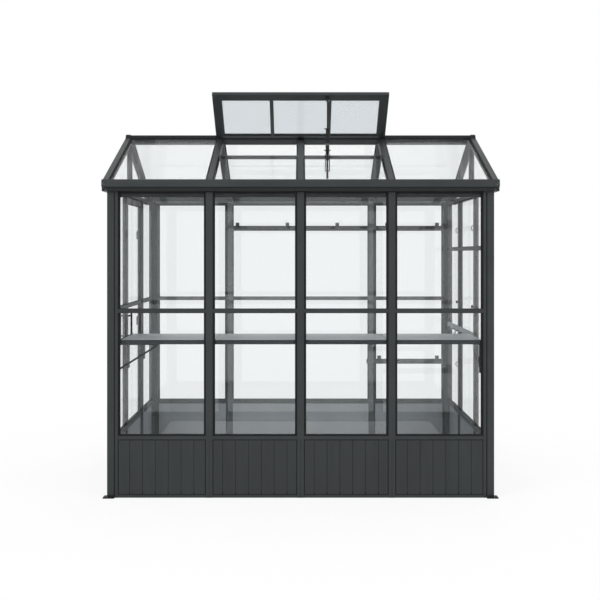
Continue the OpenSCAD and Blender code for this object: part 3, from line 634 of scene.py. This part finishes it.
def postScrews():
    bm = bmesh.new()
    for wall, axis, sign in (("front", 1, 1), ("back", 1, -1), ("left", 0, 1), ("right", 0, -1)):
        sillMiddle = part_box(wall + "_glazing")[0].z - postScrew["underPane"] * mm
        for low, high in boxesOf(wall + "_posts"):
            foot, head = low.z + postScrew["overFoot"] * mm, high.z - postScrew["underHead"] * mm
            for z in (foot, sillMiddle, head):
                for shift in (-postScrew["apart"] / 2, postScrew["apart"] / 2):
                    place = (low + high) / 2
                    place[axis] = high[axis] if sign > 0 else low[axis]
                    place[1 - axis] += shift * mm
                    place.z = z
                    screw(bm, place, flatAxes[axis] * sign, postScrew["radius"] * mm)
    makePiece("post_screws", bm, zincSteel)


postScrews()


# Screws at the gutters' ends, as (in from the end, back from the face, down from the top)
gutterScrew = {"radius": 3.5, "places": ((8, 0, 24), (14, 0, 34), (22, 15, 62))}


def gutterScrews():
    bm = bmesh.new()
    low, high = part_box("gutters")
    for endSign, end in ((1, high.x), (-1, low.x)):
        for sign, face in ((-1, low.y), (1, high.y)):
            for endIn, back, down in gutterScrew["places"]:
                x, y, z = end - endSign * endIn * mm, face - sign * back * mm, high.z - down * mm
                screw(bm, Vector((x, y, z)), yAxis * sign, gutterScrew["radius"] * mm)
    makePiece("gutter_screws", bm, zincSteel)


gutterScrews()


# Dark strip under the gutter's lip, between the corner posts: painted shade on the gutter's underside
eaveShade = {"width": 26, "edge": 2, "height": 5, "toe": 1.5}


def eaveUndersideShade():
    bm = bmesh.new()
    postEnd = [corner.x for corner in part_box("front_glazing")]
    outline = scaled([(0, 0), (eaveShade["width"], 0), (eaveShade["width"], eaveShade["edge"]),
                      (eaveShade["toe"], eaveShade["height"]), (0, eaveShade["height"])])
    for sign, (low, high) in zip((-1, 1), boxesOf("eave_beams")):
        wall = low.y if sign < 0 else high.y
        start, end = (Vector((x, wall, low.z)) for x in postEnd)
        sweep(bm, start, end, yAxis * sign, -zAxis, outline)
    makePiece("eave_underside_shade_strips", bm, rubberSeal)


eaveUndersideShade()


# Dark strip on the gutters' lower step: painted shade where the gutter's lip shades the step
stepShade = {"in": 15, "overWall": 1, "height": 23, "thick": 0.4, "sunk": 0.1, "short": 14}


def gutterStepShadeStrips():
    bm = bmesh.new()
    low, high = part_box("gutters")
    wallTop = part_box("front_posts")[1].z
    short = stepShade["short"] * mm
    outline = oblong(0, -stepShade["sunk"], stepShade["height"], stepShade["thick"])
    for sign, edge in ((-1, low.y), (1, high.y)):
        y, z = edge - sign * stepShade["in"] * mm, wallTop + stepShade["overWall"] * mm
        start, end = Vector((low.x + short, y, z)), Vector((high.x - short, y, z))
        sweep(bm, start, end, zAxis, yAxis * sign, outline)
    makePiece("gutter_step_shade_strips", bm, blackSteel)


gutterStepShadeStrips()


# Small plugs in the ridge cap's two ends
ridgePlug = {"radius": 15, "length": 30, "down": 9, "proud": 2.5, "chamfer": 2}


def ridgePlugs():
    bm = bmesh.new()
    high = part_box("ridge_cap")[1]
    r, length = ridgePlug["radius"], ridgePlug["length"] + ridgePlug["proud"]
    chamfer = ridgePlug["chamfer"]
    outline = scaled([(0, 0), (r, 0), (r, length - chamfer), (r - chamfer, length), (0, length)])
    x, z = high.x - ridgePlug["length"] * mm, high.z - ridgePlug["down"] * mm
    for sign in (-1, 1):
        turn(bm, Vector((sign * x, 0, z)), xAxis * sign, outline, 28)
    makePiece("ridge_end_plugs", bm, rubberSeal)


ridgePlugs()
print("seams and screws fitted")


# Roof vent opener: pivot bolts, ribs, sleeve and collars on the cylinder, guide prongs and rod eye

# lean and drop are the slope from its foot up to its pivot; places along it are up from the foot,
# and those of the ribs and the sleeve are shares of the cylinder
opener = {"lean": 76, "drop": 514, "cylinder": 24, "cylinderStart": 156, "cylinderLength": 172,
          "footDepth": 3, "ribs": (0.3, 0.62), "sleeve": 0.36, "collarAfter": 26, "collarPast": 1,
          "pivot": 3.5, "pivotHalf": 13, "bolt": 6, "boltOut": 8,
          "prongs": {"start": 40, "length": 118, "apart": 28, "radius": 3},
          "bars": {"places": (44, 148), "half": 17, "radius": 3.4}}
# (radius, height) outlines; those of rib and sleeve count from the cylinder's face
openerShapes = {
    "rib": [(-1, 0), (3, 0), (3, 5), (-1, 5), (-1, 0)],
    "sleeve": [(-1, 0), (0.8, 0), (0.8, 14), (-1, 14), (-1, 0)],
    "collar": [(0, 0), (22, 0), (24, 1), (24, 5), (23, 6), (0, 6)],
    "eye": [(0, 0), (6, 0), (8.5, 3), (8.5, 12), (0, 12)], "eyeUnder": 10}


def openerFittings():
    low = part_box("vent_opener")[0]
    tip = [p for p in solidsOf("vent_opener")[0] if p.z < low.z + opener["footDepth"] * mm]
    foot = sum(tip, Vector()) / len(tip)
    axis = Vector((0, -opener["lean"], opener["drop"])).normalized()
    pivot = foot + axis * (math.hypot(opener["lean"], opener["drop"]) * mm)
    steel, sleeve, dark = bmesh.new(), bmesh.new(), bmesh.new()

    def onCylinder(shape):
        return scaled([(opener["cylinder"] / 2 + a, b) for a, b in openerShapes[shape]])

    reach = xAxis * (opener["pivotHalf"] * mm)
    rod(steel, pivot - reach, pivot + reach, opener["pivot"] * mm)
    for side in (-xAxis, xAxis):
        bolt(steel, pivot + side * (opener["boltOut"] * mm), side, opener["bolt"] * mm)
    start, length = opener["cylinderStart"], opener["cylinderLength"]
    for share in opener["ribs"]:
        turn(dark, foot + axis * ((start + share * length) * mm), axis, onCylinder("rib"), 24)
    place = foot + axis * ((start + opener["sleeve"] * length) * mm)
    turn(sleeve, place, axis, onCylinder("sleeve"), 24)
    for up in (start + opener["collarAfter"], start + length + opener["collarPast"]):
        turn(dark, foot + axis * (up * mm), axis, scaled(openerShapes["collar"]), 28)
    prongs, bars = opener["prongs"], opener["bars"]
    for sign in (-1, 1):
        place = foot + axis * (prongs["start"] * mm) + xAxis * (sign * prongs["apart"] / 2 * mm)
        rod(dark, place, place + axis * (prongs["length"] * mm), prongs["radius"] * mm, 12)
    for up in bars["places"]:
        place, half = foot + axis * (up * mm), xAxis * (bars["half"] * mm)
        rod(dark, place - half, place + half, bars["radius"] * mm, 12)
    turn(dark, foot - axis * (openerShapes["eyeUnder"] * mm), axis, scaled(openerShapes["eye"]), 20)
    makePiece("opener_bolts", steel, zincSteel)
    makePiece("opener_sleeve", sleeve, anodisedTube)
    makePiece("opener_guides", dark, blackSteel)


openerFittings()


# Hanging bars: plugs in their open ends; the ends past wallFrom run into the right gable

barPlug = {"barRadius": 20.5, "wallFrom": 1100,
           "outline": [(0, 0), (19, 0), (19.5, 2), (16, 4), (0, 4.5)]}


def barPlugs():
    bm = bmesh.new()
    for low, high in boxesOf("hanging_bars"):
        y, z = low.y + barPlug["barRadius"] * mm, low.z + barPlug["barRadius"] * mm
        for x, out in ((low.x, -xAxis), (high.x, xAxis)):
            if x < barPlug["wallFrom"] * mm:
                turn(bm, Vector((x, y, z)), out, scaled(barPlug["outline"]), 28)
    makePiece("hanging_bar_plugs", bm, rubberSeal)


barPlugs()


# Shelf: dark trim at its left end, beads between its trays, tray screws and a front strip

shelf = {"endTrim": [(-2, -18), (0, -18), (0, 0), (9, 0), (9, 2), (-2, 2)],
         "beadHalf": 1.4, "beadFoot": 12, "beadTop": 1.5, "beadShort": 1,
         "screw": 3.5, "screwInX": 30, "screwInY": 25,
         "stripGap": 2, "stripOut": 3, "stripIn": 0.2, "stripDrop": 28}


def shelfFittings():
    trim, screws, strips = bmesh.new(), bmesh.new(), bmesh.new()
    trays = boxesOf("shelf_trays")
    low, high = trays[0]
    sweep(trim, Vector((low.x, low.y, high.z)), Vector((low.x, high.y, high.z)), xAxis, zAxis,
          scaled(shelf["endTrim"]))
    short = shelf["beadShort"] * mm
    for a, b in zip(trays, trays[1:]):
        x = (a[1].x + b[0].x) / 2
        block(trim, (x - shelf["beadHalf"] * mm, low.y + short, high.z - shelf["beadFoot"] * mm),
              (x + shelf["beadHalf"] * mm, high.y - short, high.z - shelf["beadTop"] * mm))
    inX, inY = shelf["screwInX"] * mm, shelf["screwInY"] * mm
    for trayLow, trayHigh in trays:
        for x in (trayLow.x + inX, trayHigh.x - inX):
            for y in (trayLow.y + inY, trayHigh.y - inY):
                screw(screws, Vector((x, y, trayHigh.z)), zAxis, shelf["screw"] * mm)
    gap = shelf["stripGap"] * mm
    for paneLow, paneHigh in boxesOf("front_glazing"):
        if paneLow.z < low.z:
            left, right = max(paneLow.x + gap, low.x), min(paneHigh.x - gap, trays[-1][1].x)
            block(strips, (left, low.y - shelf["stripOut"] * mm, high.z - shelf["stripDrop"] * mm),
                  (right, low.y + shelf["stripIn"] * mm, high.z))
    makePiece("shelf_front_strips", strips, powderCoat, bevel=0.6)
    makePiece("shelf_trim", trim, rubberSeal)
    makePiece("shelf_screws", screws, zincSteel)


shelfFittings()


# Hooks and knobs on the right gable

# neck is the straight share of the reach, and bow the loop's share of the drop
hookShape = {"radius": 2.6, "reach": 22, "drop": 16, "neck": 0.35, "bow": 0.55,
             "halfTurns": 1.25, "steps": 8, "shortest": 0.2,
             "collar": 6, "collarEdge": 2, "collarTop": 2.4, "collarSunk": 0.5}


# A wire hook: out from the face, down, and up at its tip
def hook(bm, place, out, scale=1.0):
    r, reach, drop = (hookShape[k] * scale * mm for k in ("radius", "reach", "drop"))
    neckEnd = place + out * (reach * hookShape["neck"])
    path = [place, neckEnd]
    for i in range(hookShape["steps"] + 1):
        angle = math.pi * (0.5 + hookShape["halfTurns"] * i / hookShape["steps"])
        path.append(neckEnd - zAxis * drop - out * (drop * hookShape["bow"] * math.cos(angle))
                    + zAxis * (drop * math.sin(angle)))
    for a, b in zip(path, path[1:]):
        if (b - a).length > hookShape["shortest"] * mm:
            rod(bm, a, b, r, 10)
    collar = hookShape["collar"] * scale
    turn(bm, place - out * (hookShape["collarSunk"] * mm), out, scaled([
        (0, 0), (collar, 0), (collar, hookShape["collarEdge"]), (0, hookShape["collarTop"])]), 18)


# Heights over the ground, and places along the tool rail from the house's middle
gable = {"upperHook": 1730, "lowerHook": 722, "knob": 1175,
         "knobOutline": [(0, 0), (7, 0), (7, 4), (11, 7), (11, 14), (8, 17), (0, 17)],
         "railHooks": (99, 291, 483, 690), "railHookUp": 9, "railHookScale": 1.3}


def gableFittings():
    bm = bmesh.new()
    for low, high in boxesOf("right_posts"):
        y = (low.y + high.y) / 2
        hook(bm, Vector((low.x, y, gable["upperHook"] * mm)), -xAxis)
        if low.y > 0:
            hook(bm, Vector((low.x, y, gable["lowerHook"] * mm)), -xAxis)
        turn(bm, Vector((low.x, y, gable["knob"] * mm)), -xAxis, scaled(gable["knobOutline"]), 22)
    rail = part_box("tool_rail")[0]
    for y in gable["railHooks"]:
        place = Vector((rail.x, y * mm, rail.z + gable["railHookUp"] * mm))
        hook(bm, place, -xAxis, gable["railHookScale"])
    makePiece("gable_hooks", bm, blackSteel)


gableFittings()


# Feet: ground bolts in the rings

footBolt = {"in": 12, "height": 12, "radius": 5}


def footBolts():
    bm = bmesh.new()
    inset = footBolt["in"] * mm
    for low, high in boxesOf("foot_plates"):
        x = high.x - inset if high.x > 0 else low.x + inset
        y = high.y - inset if high.y > 0 else low.y + inset
        bolt(bm, Vector((x, y, footBolt["height"] * mm)), zAxis, footBolt["radius"] * mm)
    makePiece("foot_bolts", bm, zincSteel)


footBolts()
print("fittings made")


# Door: edge seals, lock, hinge screws

# hinge screws stand off the door's face by "leaf" and lie at these places along each leaf
door = {"seal": 3, "sealWidth": 9, "screw": 3.2, "leaf": 3,
        "doorScrews": (11, 25), "postScrews": (9, 24), "screwDown": 0.5,
        "lockIn": 20, "roses": (970, 1110), "cylinder": 905}
lockShapes = {
    "rose": [(0, 0), (13, 0), (13, 2), (9, 4), (0, 4)],
    "cylinder": [(0, 0), (14, 0), (14, 2), (9.5, 3.5), (9.5, 7), (8.5, 8), (0, 8)],
    "keyHalfWidth": 0.8, "keyHalfHeight": 5, "keyFrom": 8, "keyTo": 9}


def doorEdgeSeals(low, high):
    bm = bmesh.new()
    half, proud = door["sealWidth"] / 2, door["seal"]
    bead = scaled([(-half, 0), (half, 0), (half / 2, proud), (-half / 2, proud)])
    x = (low.x + high.x) / 2
    hingeFoot, hingeHead = Vector((x, high.y, low.z)), Vector((x, high.y, high.z))
    lockFoot, lockHead = Vector((x, low.y, low.z)), Vector((x, low.y, high.z))
    for start, end, out in ((lockFoot, lockHead, -yAxis), (hingeFoot, hingeHead, yAxis),
                            (lockHead, hingeHead, zAxis), (lockFoot, hingeFoot, -zAxis)):
        sweep(bm, start, end, xAxis, out, bead)
    makePiece("door_edge_seals", bm, rubberSeal, "door")


def hingeScrews(name, leaves, body, x, places, down=0):
    bm = bmesh.new()
    for leafLow, leafHigh in boxesOf(leaves):
        z = (leafLow.z + leafHigh.z) / 2 - down * mm
        for place, edge in places(leafHigh):
            screw(bm, Vector((x, edge - place * mm, z)), -xAxis, door["screw"] * mm)
    makePiece(name, bm, zincSteel, body)


def doorLock(low, high):
    bm = bmesh.new()
    y = low.y + door["lockIn"] * mm
    keyWidth, keyHeight = lockShapes["keyHalfWidth"] * mm, lockShapes["keyHalfHeight"] * mm
    for face, sign in ((low.x, -1), (high.x, 1)):
        for z in door["roses"]:
            turn(bm, Vector((face, y, z * mm)), xAxis * sign, scaled(lockShapes["rose"]), 26)
        z = door["cylinder"] * mm
        turn(bm, Vector((face, y, z)), xAxis * sign, scaled(lockShapes["cylinder"]), 28)
        key = sorted(face + sign * lockShapes[k] * mm for k in ("keyFrom", "keyTo"))
        block(bm, (key[0], y - keyWidth, z - keyHeight), (key[1], y + keyWidth, z + keyHeight))
    makePiece("door_lock", bm, blackSteel, "door")


def doorFittings():
    low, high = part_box("door_stiles")
    screwFace = low.x - door["leaf"] * mm
    doorEdgeSeals(low, high)
    hingeScrews("door_hinge_screws", "door_hinge_leaves", "door", screwFace,
                lambda leaf: [(place, high.y) for place in door["doorScrews"]])
    hingeScrews("post_hinge_screws", "post_hinge_leaves", "house", screwFace,
                lambda leaf: [(place, leaf.y) for place in door["postScrews"]], door["screwDown"])
    doorLock(low, high)


doorFittings()
print("door fitted")


# Floor, world and lamps

# metres; bright is the seen floor under the house, which fades to 1 between the two distances
studio = {"floorSize": 40.0, "floorDrop": 0.0002, "floorColour": "#f2f3f3",
          "fadeStart": 1.4, "fadeEnd": 3.6, "bright": 0.86, "worldFill": 0.6}


# 1 for the rays that show the backdrop: from the camera, off gloss and through glass
def seenRays(tree):
    path = addNode(tree, "ShaderNodeLightPath")
    seen = path.outputs["Is Camera Ray"]
    for kind in ("Is Glossy Ray", "Is Transmission Ray"):
        seen = addNode(tree, "ShaderNodeMath", {0: seen, 1: path.outputs[kind]},
                       operation="MAXIMUM").outputs[0]
    return seen


def makeFloor():
    bm = bmesh.new()
    half = studio["floorSize"] / 2
    bm.faces.new([bm.verts.new((x, y, -studio["floorDrop"]))
                  for x, y in ((-half, -half), (half, -half), (half, half), (-half, half))])
    mesh = bpy.data.meshes.new("studioFloor")
    bm.to_mesh(mesh)
    bm.free()
    floor = bpy.data.objects.new("studioFloor", mesh)
    bpy.context.scene.collection.objects.link(floor)
    material, tree = newMaterial("studioPaper")
    place = addNode(tree, "ShaderNodeTexCoord").outputs["Object"]
    distance = addNode(tree, "ShaderNodeVectorMath", {0: place},
                       operation="LENGTH").outputs["Value"]
    fade = addNode(tree, "ShaderNodeMapRange", {
        "Value": distance, "From Min": studio["fadeStart"], "From Max": studio["fadeEnd"],
        "To Min": studio["bright"], "To Max": 1.0}, interpolation_type="SMOOTHSTEP").outputs[0]
    white = addNode(tree, "ShaderNodeMath", {0: fade, 1: seenRays(tree)},
                    operation="MULTIPLY").outputs[0]
    paper = addNode(tree, "ShaderNodeBsdfDiffuse", {"Color": linear(studio["floorColour"])})
    glow = addNode(tree, "ShaderNodeEmission", {"Color": (1, 1, 1, 1), "Strength": 1.0})
    mixed = addNode(tree, "ShaderNodeMixShader", {
        0: white, 1: paper.outputs[0], 2: glow.outputs[0]})
    addNode(tree, "ShaderNodeOutputMaterial", {"Surface": mixed.outputs[0]})
    mesh.materials.append(material)


def makeWorld():
    world = bpy.data.worlds.new("whiteStudio")
    world.use_nodes = True
    tree = world.node_tree
    tree.nodes.clear()
    seen = seenRays(tree)
    fill = addNode(tree, "ShaderNodeBackground", {
        "Color": (1, 1, 1, 1), "Strength": studio["worldFill"]})
    white = addNode(tree, "ShaderNodeBackground", {"Color": (1, 1, 1, 1), "Strength": 1.0})
    mixed = addNode(tree, "ShaderNodeMixShader", {0: seen, 1: fill.outputs[0], 2: white.outputs[0]})
    addNode(tree, "ShaderNodeOutputWorld", {"Surface": mixed.outputs[0]})
    bpy.context.scene.world = world


# metres and watts; the room lamp stands inside and lights the back wall's inner side
lamps = {
    "keyLamp": {"place": (-4.5, -6.0, 5.5), "aim": (0, 0, 1.1), "size": 4.0, "power": 300},
    "fillLamp": {"place": (5.5, -5.0, 3.6), "aim": (0, 0, 1.1), "size": 4.0, "power": 150},
    "backLamp": {"place": (1.5, 5.5, 5.5), "aim": (0, 0, 1.4), "size": 4.0, "power": 200},
    "roomLamp": {"place": (0, -0.36, 1.1), "aim": (0, 0.9, 1.1), "size": 1.4, "power": 24}}


def makeLamps():
    for name, lamp in lamps.items():
        light = bpy.data.lights.new(name, "AREA")
        light.shape = "DISK"
        light.size = lamp["size"]
        light.energy = lamp["power"]
        placed = bpy.data.objects.new(name, light)
        placed.location = lamp["place"]
        aim = Vector(lamp["aim"]) - Vector(lamp["place"])
        placed.rotation_euler = aim.to_track_quat("-Z", "Y").to_euler()
        placed.visible_camera = False
        placed.visible_glossy = False
        placed.visible_transmission = False
        bpy.context.scene.collection.objects.link(placed)


makeFloor()
makeWorld()
makeLamps()


# Camera: level, square to the front wall, at standing eye height

view = {"place": (0, -7.567, 1.54), "lens": 63.0, "sensor": 36, "shiftX": -0.001, "shiftY": -0.0775}


def makeCamera():
    data = bpy.data.cameras.new("frontView")
    data.lens = view["lens"]
    data.sensor_width = view["sensor"]
    data.shift_x = view["shiftX"]
    data.shift_y = view["shiftY"]
    camera = bpy.data.objects.new("frontView", data)
    camera.location = view["place"]
    camera.rotation_euler = (math.radians(90), 0, 0)
    bpy.context.scene.collection.objects.link(camera)
    bpy.context.scene.camera = camera


makeCamera()
bpy.context.scene.view_settings.view_transform = "Standard"
print("studio ready")
